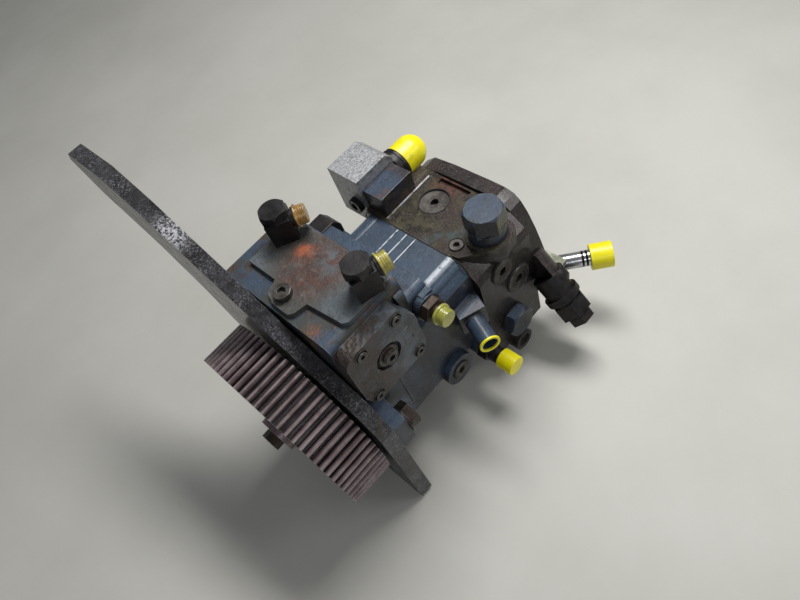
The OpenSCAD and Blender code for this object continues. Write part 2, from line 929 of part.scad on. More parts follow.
module far_elbow() {
  color("dimgray") difference() {
    union() {
      along_y(72, 22) polygon([[110, 40], [110, 72], [116, 80], [133, 80], [140, 70], [140, 40]]);
      ycyl(125, 94, 58, 13, 7);
    }
    ycyl(125, 80, 58, 7, 24);
  }
}

adapter_plate();
pump_housing();
flange_bolts();
flange_washers();
control_cover();
control_cover_screw();
control_spool();
near_servo_cover();
far_servo_cover();
servo_cover_screws();
stroke_limit_screws();
stroke_limit_nuts();
stroking_piston();
swashplate();
cradle_bearings();
drive_shaft();
drive_gear();
gear_washer();
gear_bolt();
bearing_inner_races();
bearing_outer_races();
front_rollers();
rear_rollers();
cylinder_block();
pistons();
slippers();
retaining_plate();
block_spring();
ball_guide();
valve_plate();
port_plate();
port_plate_screws();
housing_gasket();
relief_plugs();
relief_cartridges();
socket_plugs();
charge_housing();
charge_inner_rotor();
charge_outer_rotor();
charge_housing_screws();
port_block_a();
flange_block_a();
flange_block_screws();
flange_block_b();
tube_b();
port_caps();
port_collar_a();
rear_fitting();
rear_fitting_plug();
drain_fitting();
drain_ring();
low_fitting();
gauge_fitting();
gauge_cap();
control_elbows();
control_elbow_bolts();
control_caps();
far_elbow();
shaft_seal();
seal_ring();
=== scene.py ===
import math

import bmesh
import bpy
from mathutils import Matrix, Vector


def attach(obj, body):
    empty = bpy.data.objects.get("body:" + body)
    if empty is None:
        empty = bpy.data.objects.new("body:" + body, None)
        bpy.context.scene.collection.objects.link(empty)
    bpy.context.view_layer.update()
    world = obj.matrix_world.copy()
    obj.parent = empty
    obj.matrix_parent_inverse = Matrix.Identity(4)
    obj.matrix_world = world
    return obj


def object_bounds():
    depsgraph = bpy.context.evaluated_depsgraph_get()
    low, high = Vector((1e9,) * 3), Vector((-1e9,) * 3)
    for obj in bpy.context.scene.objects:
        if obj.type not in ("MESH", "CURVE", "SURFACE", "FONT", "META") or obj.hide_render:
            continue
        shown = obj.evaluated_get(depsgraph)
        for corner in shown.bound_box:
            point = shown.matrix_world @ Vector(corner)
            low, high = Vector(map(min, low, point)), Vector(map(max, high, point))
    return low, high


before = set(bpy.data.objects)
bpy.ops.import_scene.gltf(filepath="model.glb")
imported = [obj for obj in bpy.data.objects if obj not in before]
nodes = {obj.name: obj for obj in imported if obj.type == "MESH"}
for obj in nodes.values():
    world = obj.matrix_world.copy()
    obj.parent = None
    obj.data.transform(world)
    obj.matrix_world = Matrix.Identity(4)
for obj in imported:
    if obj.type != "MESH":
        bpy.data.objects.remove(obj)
cad_box = [list(v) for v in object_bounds()]


# ---- colours and node helpers --------------------------------------------------------

def srgb(r, g, b):
    def f(c):
        c = c / 255
        return c / 12.92 if c <= 0.04045 else ((c + 0.055) / 1.055) ** 2.4
    return (f(r), f(g), f(b), 1.0)


class Mat:
    """A principled material whose inputs are built from procedural nodes in object space."""

    def __init__(self, name):
        self.m = bpy.data.materials.new(name)
        self.m.use_nodes = True
        self.t = self.m.node_tree
        self.t.nodes.clear()
        self.out = self.t.nodes.new("ShaderNodeOutputMaterial")
        self.b = self.t.nodes.new("ShaderNodeBsdfPrincipled")
        self.t.links.new(self.b.outputs[0], self.out.inputs[0])
        self.co = self.t.nodes.new("ShaderNodeTexCoord").outputs["Object"]

    def put(self, socket, value):
        if isinstance(value, bpy.types.NodeSocket):
            self.t.links.new(value, socket)
        else:
            socket.default_value = value

    def math(self, op, a, b=0.5, clamp=False):
        n = self.t.nodes.new("ShaderNodeMath")
        n.operation = op
        n.use_clamp = clamp
        self.put(n.inputs[0], a)
        self.put(n.inputs[1], b)
        return n.outputs[0]

    def stretch(self, scale):
        n = self.t.nodes.new("ShaderNodeMapping")
        self.put(n.inputs["Vector"], self.co)
        n.inputs["Scale"].default_value = scale
        return n.outputs[0]

    def noise(self, scale, detail=6, rough=0.6, lo=0.35, hi=0.65, vec=None, distortion=0.0):
        n = self.t.nodes.new("ShaderNodeTexNoise")
        n.inputs["Scale"].default_value = scale
        n.inputs["Detail"].default_value = detail
        n.inputs["Roughness"].default_value = rough
        n.inputs["Distortion"].default_value = distortion
        self.put(n.inputs["Vector"], self.co if vec is None else vec)
        return self.step(n.outputs[0], lo, hi)

    def step(self, value, lo, hi, a=0.0, b=1.0):
        n = self.t.nodes.new("ShaderNodeMapRange")
        n.interpolation_type = "SMOOTHSTEP"
        self.put(n.inputs["Value"], value)
        n.inputs["From Min"].default_value = lo
        n.inputs["From Max"].default_value = hi
        n.inputs["To Min"].default_value = a
        n.inputs["To Max"].default_value = b
        return n.outputs[0]

    def voronoi(self, scale, lo, hi):
        n = self.t.nodes.new("ShaderNodeTexVoronoi")
        n.inputs["Scale"].default_value = scale
        self.put(n.inputs["Vector"], self.co)
        return self.step(n.outputs["Distance"], lo, hi)

    def mix(self, fac, a, b):
        n = self.t.nodes.new("ShaderNodeMix")
        n.data_type = "RGBA"
        self.put(n.inputs["Factor"], fac)
        self.put(n.inputs[6], a)
        self.put(n.inputs[7], b)
        return n.outputs[2]

    def edge(self, radius, lo=0.02, hi=0.25):
        """1 along convex and concave edges within the radius, 0 on flat faces."""
        bev = self.t.nodes.new("ShaderNodeBevel")
        bev.samples = 6
        bev.inputs["Radius"].default_value = radius
        geo = self.t.nodes.new("ShaderNodeNewGeometry")
        dot = self.t.nodes.new("ShaderNodeVectorMath")
        dot.operation = "DOT_PRODUCT"
        self.put(dot.inputs[0], bev.outputs[0])
        self.put(dot.inputs[1], geo.outputs["Normal"])
        return self.step(self.math("SUBTRACT", 1.0, dot.outputs["Value"]), lo, hi)

    def axis(self, k, lo, hi):
        """0 below lo and 1 above hi along the object's x, y or z, in metres."""
        n = self.t.nodes.new("ShaderNodeSeparateXYZ")
        self.put(n.inputs[0], self.co)
        return self.step(n.outputs[k], lo, hi)

    def spot(self, centre, r0, r1):
        """1 inside r0 metres of the centre, 0 outside r1."""
        n = self.t.nodes.new("ShaderNodeVectorMath")
        n.operation = "DISTANCE"
        self.put(n.inputs[0], self.co)
        n.inputs[1].default_value = centre
        return self.step(n.outputs["Value"], r0, r1, 1.0, 0.0)

    def place(self, k):
        """The object's x, y or z in metres."""
        n = self.t.nodes.new("ShaderNodeSeparateXYZ")
        self.put(n.inputs[0], self.co)
        return n.outputs[k]

    def band(self, value, centre, half, soft):
        """1 where the value is within half of the centre, 0 beyond half + soft."""
        away = self.math("ABSOLUTE", self.math("SUBTRACT", value, centre))
        return self.step(away, half, half + soft, 1.0, 0.0)

    def facing(self, k, lo, hi):
        """0 where the world normal's x, y or z is lo, 1 where it is hi, smooth between."""
        n = self.t.nodes.new("ShaderNodeSeparateXYZ")
        geo = self.t.nodes.new("ShaderNodeNewGeometry")
        self.put(n.inputs[0], geo.outputs["Normal"])
        return self.step(n.outputs[k], lo, hi)

    def bump(self, height, strength, distance):
        n = self.t.nodes.new("ShaderNodeBump")
        n.inputs["Strength"].default_value = strength
        n.inputs["Distance"].default_value = distance
        self.put(n.inputs["Height"], height)
        prev = self.b.inputs["Normal"]
        if prev.is_linked:
            self.put(n.inputs["Normal"], prev.links[0].from_socket)
        self.put(prev, n.outputs[0])

    def finish(self, color, rough, metal=0.0, spec=0.5, coat=0.0, coat_rough=0.2):
        self.put(self.b.inputs["Base Color"], color)
        self.put(self.b.inputs["Roughness"], rough)
        self.put(self.b.inputs["Metallic"], metal)
        self.b.inputs["Specular IOR Level"].default_value = spec
        self.b.inputs["Coat Weight"].default_value = coat
        self.b.inputs["Coat Roughness"].default_value = coat_rough
        return self.m


# ---- materials -------------------------------------------------------------------------

def painted(name, base=(58, 73, 93), scuff=(108, 122, 138), grime_and_shade=(40, 35, 32),
            grime_lo=0.50, grime_hi=0.66, mud=(72, 62, 58), mud_lo=0.55, ridges=False, foot=False):
    """Old blue-grey enamel on a casting, with oily grime, dust and paint worn off edges, plus painted shade
    on side faces and creases and painted highlights along edges and, with ridges, on the barrel ribs.
    """
    m = Mat(name)
    tone = m.noise(34, 4, 0.6, 0.3, 0.7)
    c = m.mix(tone, srgb(*[v * 0.86 for v in base]), srgb(*base))
    c = m.mix(m.math("MULTIPLY", m.noise(300, 3, 0.7, 0.58, 0.74), 0.35), c, srgb(*scuff))
    dust = m.noise(24, 8, 0.7, mud_lo, mud_lo + 0.12)
    c = m.mix(m.math("MULTIPLY", dust, 0.7), c, srgb(*mud))
    oil = m.noise(17, 9, 0.72, grime_lo, grime_hi, distortion=0.6)
    c = m.mix(m.math("MULTIPLY", oil, 0.85), c, srgb(*grime_and_shade))
    # painted shade: faces whose world normal points sideways get grime-coloured streaks and an even
    # darkening that stands in for shade on the sides
    side = m.facing(2, 0.75, 0.15)
    streaks = m.noise(1, 7, 0.7, 0.38, 0.60, vec=m.stretch((60, 60, 14)))
    c = m.mix(m.math("MULTIPLY", m.math("MULTIPLY", side, streaks), 0.75), c, srgb(*grime_and_shade))
    c = m.mix(m.math("MULTIPLY", side, 0.55), c, srgb(16, 18, 24))
    # worn paint along edges plus painted highlight: the light edge colour also stands in for glints on
    # rounded edges
    ed = m.edge(0.0022)
    worn = m.math("MULTIPLY", ed, m.noise(90, 5, 0.6, 0.48, 0.6))
    c = m.mix(m.math("MULTIPLY", worn, 0.65), c, srgb(146, 156, 168))
    # grime plus painted shade: darker along edges and into creases
    c = m.mix(m.math("MULTIPLY", m.math("MULTIPLY", ed, m.noise(60, 4, 0.6, 0.58, 0.44)), 0.7),
              c, srgb(26, 24, 25))
    c = m.mix(m.math("MULTIPLY", m.noise(520, 3, 0.7, 0.64, 0.74), 0.6), c, srgb(30, 28, 30))
    if foot:
        low = m.math("ADD", m.axis(2, 0.079, 0.070), m.math("MULTIPLY", m.axis(0, 0.200, 0.214), 0.8), True)
        c = m.mix(m.math("MULTIPLY", low, 0.85), c, srgb(48, 39, 38))
        c = m.mix(m.math("MULTIPLY", m.noise(60, 7, 0.72, 0.52, 0.62), 0.6), c, srgb(92, 72, 62))
    if ridges:
        block = m.math("MULTIPLY", m.axis(0, 0.110, 0.098), m.axis(2, 0.080, 0.100))
        c = m.mix(m.math("MULTIPLY", block, m.noise(42, 8, 0.74, 0.42, 0.60)), c, srgb(66, 66, 58))
        c = m.mix(m.math("MULTIPLY", m.math("MULTIPLY", block, m.noise(70, 8, 0.74, 0.52, 0.62)), 0.8),
                  c, srgb(70, 52, 42))
        rust = m.math("MULTIPLY", m.spot((0.0215, -0.0414, 0.118), 0.002, 0.016),
                      m.noise(150, 7, 0.7, 0.40, 0.56))
        c = m.mix(rust, c, srgb(128, 80, 56))
        chip = m.math("MULTIPLY", m.spot((0.030, -0.0600, -0.030), 0.012, 0.040),
                      m.noise(120, 7, 0.7, 0.44, 0.56))
        c = m.mix(m.math("MULTIPLY", chip, 0.7), c, srgb(150, 160, 178))
        # painted highlight: bright lines along the top of the barrel ribs
        rib_highlight = m.math("MULTIPLY", m.axis(2, 0.0650, 0.0656), m.axis(0, 0.132, 0.136))
        rib_highlight = m.math("MULTIPLY", rib_highlight, m.axis(1, 0.022, 0.019))
        c = m.mix(m.math("MULTIPLY", rib_highlight, m.noise(160, 4, 0.6, 0.3, 0.5)), c, srgb(196, 204, 212))
    rough = m.math("ADD", 0.24, m.math("MULTIPLY", m.noise(60, 6, 0.7, 0.3, 0.7), 0.24))
    rough = m.math("SUBTRACT", rough, m.math("MULTIPLY", oil, 0.06))
    m.bump(m.noise(120, 5, 0.6, 0.2, 0.8), 0.35, 0.0012)
    m.bump(m.noise(600, 5, 0.7, 0.2, 0.8), 0.5, 0.0005)
    return m.finish(c, rough, 0.0, 0.3, coat=0.28, coat_rough=0.2)


def greasy(name, base=(66, 54, 52), light=(88, 76, 74), dark=(26, 20, 20), olive=(64, 60, 46),
           ridge=False):
    """Cast iron under a brown film of oil and dust, with painted shade on side faces and creases and, with
    ridge, a painted highlight line on the top ridge.
    """
    m = Mat(name)
    c = m.mix(m.noise(24, 7, 0.68, 0.40, 0.60), srgb(*base), srgb(*olive))
    c = m.mix(m.math("MULTIPLY", m.noise(48, 7, 0.7, 0.52, 0.66), 0.7), c, srgb(*light))
    c = m.mix(m.math("MULTIPLY", m.noise(19, 9, 0.74, 0.5, 0.62, distortion=0.8), 0.8), c, srgb(*dark))
    c = m.mix(m.math("MULTIPLY", m.noise(520, 3, 0.75, 0.56, 0.66), 0.5), c, srgb(138, 130, 128))
    c = m.mix(m.math("MULTIPLY", m.noise(330, 4, 0.75, 0.54, 0.66), 0.6), c, srgb(*dark))
    # painted shade: faces whose world normal points sideways get dark streaks and an even darkening that
    # stands in for shade on the sides
    side = m.facing(2, 0.75, 0.15)
    streaks = m.noise(1, 7, 0.7, 0.30, 0.60, vec=m.stretch((50, 50, 16)))
    c = m.mix(m.math("MULTIPLY", m.math("MULTIPLY", side, streaks), 0.75), c, srgb(*dark))
    c = m.mix(m.math("MULTIPLY", side, 0.55), c, srgb(18, 13, 13))
    ed = m.edge(0.0020)
    c = m.mix(m.math("MULTIPLY", m.math("MULTIPLY", ed, m.noise(70, 5, 0.6, 0.46, 0.6)), 0.6),
              c, srgb(150, 144, 140))
    # grime plus painted shade: darker along edges and into creases
    c = m.mix(m.math("MULTIPLY", m.math("MULTIPLY", ed, m.noise(50, 5, 0.6, 0.58, 0.44)), 0.75),
              c, srgb(20, 17, 18))
    if ridge:
        # painted highlight: a thin bright line along the top ridge of the port plate
        ridge_highlight = m.math("MULTIPLY", m.axis(2, 0.0656, 0.0664), m.band(m.place(1), 0.0363, 0.0010, 0.0004))
        c = m.mix(m.math("MULTIPLY", ridge_highlight, m.noise(140, 5, 0.6, 0.34, 0.5)), c, srgb(206, 202, 204))
        moss = m.math("MULTIPLY", m.axis(2, 0.060, 0.064), m.noise(38, 8, 0.74, 0.48, 0.58))
        c = m.mix(m.math("MULTIPLY", moss, 0.6), c, srgb(88, 84, 62))
        rust = m.math("MULTIPLY", m.spot((0.236, 0.010, 0.065), 0.006, 0.026),
                      m.noise(120, 7, 0.7, 0.4, 0.56))
        c = m.mix(m.math("MULTIPLY", rust, 0.7), c, srgb(112, 74, 62))
        paint = m.math("MULTIPLY", m.band(m.math("ADD", m.place(0), m.place(1)), 0.156, 0.003, 0.009),
                       m.math("MULTIPLY", m.axis(2, 0.0640, 0.0648), m.noise(60, 6, 0.7, 0.40, 0.58)))
        c = m.mix(m.math("MULTIPLY", paint, 0.7), c, srgb(76, 92, 98))
    rough = m.math("ADD", 0.26, m.math("MULTIPLY", m.noise(50, 6, 0.7, 0.3, 0.7), 0.25))
    m.bump(m.noise(90, 7, 0.68, 0.2, 0.8), 0.45, 0.0018)
    m.bump(m.noise(480, 6, 0.75, 0.2, 0.8), 0.75, 0.0008)
    return m.finish(c, rough, 0.05, 0.3, coat=0.35, coat_rough=0.12)


def steel(name, base=(120, 118, 116), dark=(48, 44, 42), light=(190, 190, 190), metal=0.75,
          rough0=0.32, worn=0.6, scale=1.0, bump=0.2, stain=(70, 56, 46), stain_amt=0.4):
    """Bare, plated or blackened steel with stains, fine scratches and bright edges."""
    m = Mat(name)
    c = m.mix(m.noise(60 * scale, 6, 0.62, 0.35, 0.65), srgb(*base), srgb(*dark))
    c = m.mix(m.math("MULTIPLY", m.noise(26 * scale, 7, 0.66, 0.5, 0.68), stain_amt), c, srgb(*stain))
    c = m.mix(m.math("MULTIPLY", m.noise(700, 3, 0.7, 0.62, 0.74), 0.4), c, srgb(*light))
    ed = m.edge(0.0011)
    c = m.mix(m.math("MULTIPLY", m.math("MULTIPLY", ed, m.noise(130, 4, 0.6, 0.4, 0.58)), worn),
              c, srgb(*light))
    rough = m.math("ADD", rough0, m.math("MULTIPLY", m.noise(90 * scale, 6, 0.7, 0.3, 0.7), 0.25))
    m.bump(m.noise(500, 5, 0.6, 0.2, 0.8), bump, 0.0004)
    return m.finish(c, rough, metal, 0.5)


def plastic(name, base, dark, light, rough0=0.35, coat=0.3):
    """Moulded plastic with dirt, small scuffs and a soft gloss."""
    m = Mat(name)
    c = m.mix(m.noise(70, 5, 0.6, 0.35, 0.7), srgb(*base), srgb(*light))
    c = m.mix(m.math("MULTIPLY", m.noise(40, 8, 0.7, 0.56, 0.74), 0.6), c, srgb(*dark))
    c = m.mix(m.math("MULTIPLY", m.noise(420, 3, 0.7, 0.64, 0.74), 0.4), c, srgb(*dark))
    c = m.mix(m.math("MULTIPLY", m.edge(0.0012), 0.35), c, srgb(*dark))
    rough = m.math("ADD", rough0, m.math("MULTIPLY", m.noise(120, 4, 0.6, 0.3, 0.7), 0.15))
    m.bump(m.noise(260, 4, 0.6, 0.2, 0.8), 0.12, 0.0004)
    return m.finish(c, rough, 0.0, 0.5, coat=coat, coat_rough=0.2)


def control_cover_material():
    m = Mat("rusty_cover")
    c = m.mix(m.noise(40, 7, 0.68, 0.38, 0.62), srgb(82, 84, 82), srgb(66, 66, 62))
    zone = m.math("MULTIPLY", m.spot((0.068, 0.004, 0.130), 0.018, 0.042), m.noise(60, 8, 0.74, 0.34, 0.50))
    brown = m.mix(m.noise(90, 7, 0.72, 0.40, 0.60), srgb(92, 60, 50), srgb(70, 50, 45))
    c = m.mix(zone, c, brown)
    c = m.mix(m.math("MULTIPLY", m.noise(80, 7, 0.72, 0.52, 0.66), 0.55), c, srgb(112, 102, 98))
    near = m.spot((0.052, -0.050, 0.130), 0.010, 0.030)
    far = m.spot((0.044, 0.056, 0.130), 0.006, 0.020)
    mid = m.spot((0.086, -0.010, 0.130), 0.004, 0.026)
    blue = m.math("MULTIPLY", m.math("ADD", m.math("ADD", near, far, True), mid, True),
                  m.noise(55, 7, 0.7, 0.40, 0.54))
    c = m.mix(m.math("MULTIPLY", blue, 0.85), c, srgb(92, 102, 110))
    rust = m.math("MULTIPLY", m.spot((0.0756, 0.0245, 0.130), 0.001, 0.013),
                  m.noise(120, 7, 0.7, 0.36, 0.54))
    c = m.mix(rust, c, srgb(168, 92, 60))
    rust2 = m.math("MULTIPLY", m.noise(34, 7, 0.7, 0.56, 0.68), m.noise(220, 4, 0.7, 0.4, 0.6))
    c = m.mix(m.math("MULTIPLY", rust2, 0.7), c, srgb(112, 76, 60))
    c = m.mix(m.math("MULTIPLY", m.noise(26, 9, 0.74, 0.54, 0.64), 0.7), c, srgb(44, 37, 36))
    c = m.mix(m.math("MULTIPLY", m.noise(330, 3, 0.7, 0.56, 0.68), 0.55), c, srgb(44, 37, 36))
    c = m.mix(m.math("MULTIPLY", m.noise(520, 3, 0.7, 0.62, 0.72), 0.5), c, srgb(168, 160, 156))
    ed = m.edge(0.0016)
    c = m.mix(m.math("MULTIPLY", m.math("MULTIPLY", ed, m.noise(80, 5, 0.6, 0.44, 0.6)), 0.6),
              c, srgb(160, 156, 150))
    rough = m.math("ADD", 0.30, m.math("MULTIPLY", m.noise(70, 6, 0.7, 0.3, 0.7), 0.25))
    m.bump(m.noise(150, 8, 0.74, 0.2, 0.8), 0.6, 0.0012)
    m.bump(m.noise(700, 4, 0.7, 0.2, 0.8), 0.5, 0.0004)
    return m.finish(c, rough, 0.1, 0.5, coat=0.25, coat_rough=0.2)


def near_cover_material():
    m = Mat("near_cover_grime")
    split = m.axis(0, 0.046, 0.066)
    split = m.math("ADD", split, m.math("MULTIPLY", m.math("SUBTRACT", m.noise(60, 6, 0.7, 0.3, 0.7), 0.5),
                                        0.9), True)
    brown = m.mix(m.noise(70, 7, 0.7, 0.36, 0.62), srgb(40, 32, 29), srgb(64, 53, 48))
    blue = m.mix(m.noise(50, 7, 0.66, 0.36, 0.62), srgb(52, 58, 64), srgb(80, 88, 96))
    c = m.mix(split, brown, blue)
    c = m.mix(m.math("MULTIPLY", m.noise(34, 8, 0.7, 0.52, 0.66), 0.75), c, srgb(44, 38, 34))
    c = m.mix(m.math("MULTIPLY", m.noise(420, 4, 0.7, 0.6, 0.72), 0.5), c, srgb(136, 134, 130))
    ed = m.edge(0.0018)
    c = m.mix(m.math("MULTIPLY", m.math("MULTIPLY", ed, m.noise(80, 5, 0.6, 0.44, 0.58)), 0.7),
              c, srgb(160, 158, 155))
    rough = m.math("ADD", 0.36, m.math("MULTIPLY", m.noise(70, 6, 0.7, 0.3, 0.7), 0.25))
    cast = m.voronoi(240, 0.1, 0.8)
    m.bump(m.math("MULTIPLY", cast, m.axis(0, 0.050, 0.038)), 0.5, 0.0012)
    m.bump(m.noise(200, 6, 0.66, 0.2, 0.8), 0.45, 0.0012)
    return m.finish(c, rough, 0.1, 0.5, coat=0.25, coat_rough=0.25)


def plate_material():
    """Dark oily plate, with the upright drag lines of flame cutting on its edges, painted glint flecks and
    a painted highlight patch.
    """
    m = Mat("flame_cut_plate")
    c = m.mix(m.noise(30, 8, 0.7, 0.38, 0.62), srgb(36, 35, 38), srgb(60, 59, 63))
    c = m.mix(m.math("MULTIPLY", m.noise(64, 7, 0.7, 0.5, 0.64), 0.6), c, srgb(82, 82, 86))
    c = m.mix(m.math("MULTIPLY", m.noise(24, 8, 0.72, 0.54, 0.64), 0.7), c, srgb(70, 66, 54))
    c = m.mix(m.math("MULTIPLY", m.noise(170, 6, 0.7, 0.50, 0.62), 0.75), c, srgb(20, 19, 21))
    # painted glints: fine bright flecks that stand in for sparkle on the oily plate
    glint_fleck = m.math("MULTIPLY", m.noise(620, 4, 0.75, 0.52, 0.62), m.noise(40, 6, 0.7, 0.36, 0.60))
    c = m.mix(m.math("MULTIPLY", glint_fleck, 0.75), c, srgb(160, 160, 170))
    # painted highlight: a patch of bright glints on the plate's top edge
    glint_patch = m.math("MULTIPLY", m.spot((0.007, 0.088, 0.192), 0.006, 0.024), m.noise(420, 4, 0.75, 0.46, 0.54))
    c = m.mix(m.math("MULTIPLY", glint_patch, 0.85), c, srgb(226, 226, 232))
    ed = m.edge(0.0014)
    c = m.mix(m.math("MULTIPLY", m.math("MULTIPLY", ed, m.noise(60, 5, 0.6, 0.44, 0.58)), 0.7),
              c, srgb(190, 190, 192))
    rough = m.math("ADD", 0.24, m.math("MULTIPLY", m.noise(60, 6, 0.7, 0.3, 0.7), 0.25))
    m.bump(m.noise(1, 5, 0.6, 0.2, 0.8, vec=m.stretch((40, 520, 520))), 0.6, 0.0010)
    m.bump(m.noise(420, 7, 0.78, 0.2, 0.8), 0.8, 0.0012)
    return m.finish(c, rough, 0.35, 0.5, coat=0.35, coat_rough=0.12)


def gear_material():
    m = Mat("gear_steel")
    c = m.mix(m.noise(60, 6, 0.64, 0.38, 0.62), srgb(120, 102, 105), srgb(150, 134, 136))
    c = m.mix(m.math("MULTIPLY", m.noise(20, 6, 0.66, 0.54, 0.70), 0.35), c, srgb(78, 66, 66))
    reach = m.math("SQRT", m.math("ADD", m.math("POWER", m.place(1), 2.0),
                                  m.math("POWER", m.place(2), 2.0)))
    # painted shade: the radius band between the teeth is darkened as shade in the tooth gaps
    gap_shade = m.math("MULTIPLY", m.step(reach, 0.0958, 0.0994, 1.0, 0.0), m.step(reach, 0.0900, 0.0925))
    c = m.mix(m.math("MULTIPLY", gap_shade, 0.9), c, srgb(24, 20, 21))
    c = m.mix(m.math("MULTIPLY", m.noise(1, 5, 0.6, 0.5, 0.72, vec=m.stretch((30, 420, 420))), 0.4),
              c, srgb(140, 133, 133))
    # painted highlight: thin bright lines along the tooth edges
    ed = m.edge(0.0011, 0.03, 0.3)
    c = m.mix(m.math("MULTIPLY", ed, 0.9), c, srgb(240, 232, 232))
    rough = m.math("ADD", 0.22, m.math("MULTIPLY", m.noise(80, 6, 0.7, 0.3, 0.7), 0.16))
    m.bump(m.noise(1, 4, 0.6, 0.2, 0.8, vec=m.stretch((40, 700, 700))), 0.15, 0.0004)
    return m.finish(c, rough, 0.45, 0.5, coat=0.2, coat_rough=0.15)


def amber_cap_material():
    """Amber plastic, browner on the far cap and more yellow on the near one."""
    m = Mat("amber_cap")
    near = m.axis(1, 0.01, -0.01)
    base = m.mix(near, srgb(126, 94, 44), srgb(150, 140, 62))
    light = m.mix(near, srgb(176, 138, 74), srgb(190, 180, 96))
    dark = m.mix(near, srgb(62, 44, 24), srgb(86, 78, 34))
    c = m.mix(m.noise(90, 5, 0.6, 0.35, 0.65), base, light)
    c = m.mix(m.math("MULTIPLY", m.noise(60, 7, 0.7, 0.5, 0.66), 0.7), c, dark)
    c = m.mix(m.math("MULTIPLY", m.edge(0.0012), 0.5), c, dark)
    rough = m.math("ADD", 0.16, m.math("MULTIPLY", m.noise(120, 4, 0.6, 0.3, 0.7), 0.15))
    m.bump(m.noise(260, 4, 0.6, 0.2, 0.8), 0.15, 0.0004)
    return m.finish(c, rough, 0.0, 0.5, coat=0.6, coat_rough=0.1)


def tube_material():
    """Bright plated tube with two rolled grooves by its cap, coloured dark as painted shade in the grooves.
    """
    m = Mat("bright_tube")
    along = m.math("MULTIPLY", m.math("SUBTRACT", m.place(0), m.place(1)), 0.70711)
    groove = m.math("ADD", m.band(along, 0.2825, 0.0007, 0.0006), m.band(along, 0.2870, 0.0007, 0.0006),
                    True)
    c = m.mix(m.noise(90, 5, 0.6, 0.35, 0.65), srgb(208, 209, 212), srgb(160, 160, 164))
    c = m.mix(m.math("MULTIPLY", m.noise(44, 7, 0.7, 0.54, 0.68), 0.5), c, srgb(104, 96, 92))
    # painted shade: the two grooves are coloured dark as shade in the recess
    c = m.mix(groove, c, srgb(34, 30, 30))
    rough = m.math("ADD", 0.10, m.math("MULTIPLY", m.noise(90, 5, 0.7, 0.3, 0.7), 0.2))
    m.bump(m.math("MULTIPLY", groove, -1.0), 0.8, 0.0008)
    m.bump(m.noise(400, 4, 0.6, 0.2, 0.8), 0.15, 0.0003)
    return m.finish(c, rough, 0.9, 0.5)


blue = painted("blue_paint")
block_blue = painted("blue_paint_block", foot=True)
blue_barrel = painted("blue_paint_clean", base=(62, 78, 98), grime_lo=0.54, grime_hi=0.68,
                      mud_lo=0.58, ridges=True)
brown_iron = greasy("oily_iron", ridge=True)
dark_iron = greasy("oily_iron_dark", base=(58, 48, 49), light=(78, 74, 76), olive=(58, 50, 48),
                   dark=(27, 22, 23))
black = steel("black_steel", base=(44, 41, 42), dark=(26, 24, 25), light=(112, 110, 112), metal=0.5,
              rough0=0.3, worn=0.55, stain=(60, 50, 44))
grey = steel("grey_steel", base=(104, 100, 96), dark=(58, 54, 50), metal=0.7)
oily_screw = steel("oily_screw", base=(92, 88, 84), dark=(46, 42, 40), metal=0.6, stain=(64, 52, 44),
                   stain_amt=0.6)
plated = steel("zinc_steel", base=(176, 178, 181), dark=(146, 147, 150), light=(222, 222, 222),
               metal=0.4, rough0=0.28, worn=0.5, stain=(84, 78, 74), stain_amt=0.65, scale=6.0,
               bump=0.6)
olive = steel("olive_steel", base=(140, 142, 126), dark=(104, 106, 92), light=(210, 210, 200),
              metal=0.5, rough0=0.35, stain=(74, 72, 60), stain_amt=0.6)
ground = steel("ground_steel", base=(180, 180, 178), dark=(140, 140, 138), light=(225, 225, 225),
               metal=0.9, rough0=0.16, worn=0.3, stain_amt=0.2)
bronze = steel("bronze", base=(160, 124, 70), dark=(120, 90, 48), light=(210, 176, 116), metal=0.85,
               rough0=0.25, stain=(90, 64, 36), stain_amt=0.4)
brown_steel = steel("brown_steel", base=(74, 62, 52), dark=(40, 34, 30), light=(130, 120, 108),
                    metal=0.4, stain=(58, 44, 34))
yellow = plastic("yellow_cap", (238, 226, 0), (160, 142, 20), (250, 240, 10))
green = plastic("green_cap", (150, 150, 66), (82, 78, 36), (176, 174, 88), rough0=0.22, coat=0.5)
rubber = steel("seal_rubber", base=(30, 29, 28), dark=(20, 19, 19), light=(52, 50, 48), metal=0.0,
               rough0=0.6, worn=0.1, stain_amt=0.3)

gear_look = gear_material()

looks = {
    blue: ["far_servo_cover", "drain_fitting", "relief_plugs"],
    block_blue: ["port_block_a"],
    blue_barrel: ["pump_housing"],
    brown_iron: ["port_plate"],
    dark_iron: ["charge_housing"],
    black: ["control_elbows", "control_elbow_bolts", "rear_fitting",
            "rear_fitting_plug", "low_fitting", "far_elbow", "flange_block_screws", "port_collar_a"],
    oily_screw: ["servo_cover_screws", "stroke_limit_nuts", "stroke_limit_screws", "socket_plugs",
                 "port_plate_screws", "charge_housing_screws", "flange_bolts"],
    grey: ["control_cover_screw", "retaining_plate", "ball_guide", "block_spring",
           "relief_cartridges", "seal_ring", "flange_washers"],
    gear_look: ["gear_washer", "drive_gear"],
    plated: ["flange_block_a"],
    tube_material(): ["tube_b"],
    olive: ["flange_block_b"],
    ground: ["control_spool", "stroking_piston", "swashplate", "drive_shaft",
             "bearing_inner_races", "bearing_outer_races", "front_rollers", "rear_rollers",
             "pistons", "charge_inner_rotor", "charge_outer_rotor"],
    bronze: ["cylinder_block", "slippers", "valve_plate", "cradle_bearings"],
    yellow: ["port_caps", "drain_ring"],
    green: ["gauge_cap"],
    amber_cap_material(): ["control_caps"],
    brown_steel: ["gauge_fitting", "gear_bolt"],
    rubber: ["shaft_seal", "housing_gasket"],
    plate_material(): ["adapter_plate"],
    control_cover_material(): ["control_cover"],
    near_cover_material(): ["near_servo_cover"],
}
for material, names in looks.items():
    for n in names:
        nodes[n].data.materials.clear()
        nodes[n].data.materials.append(material)
looks_by_node = {n: material for material, names in looks.items() for n in names}

# ---- rounded edges on the CAD nodes ------------------------------------------------------

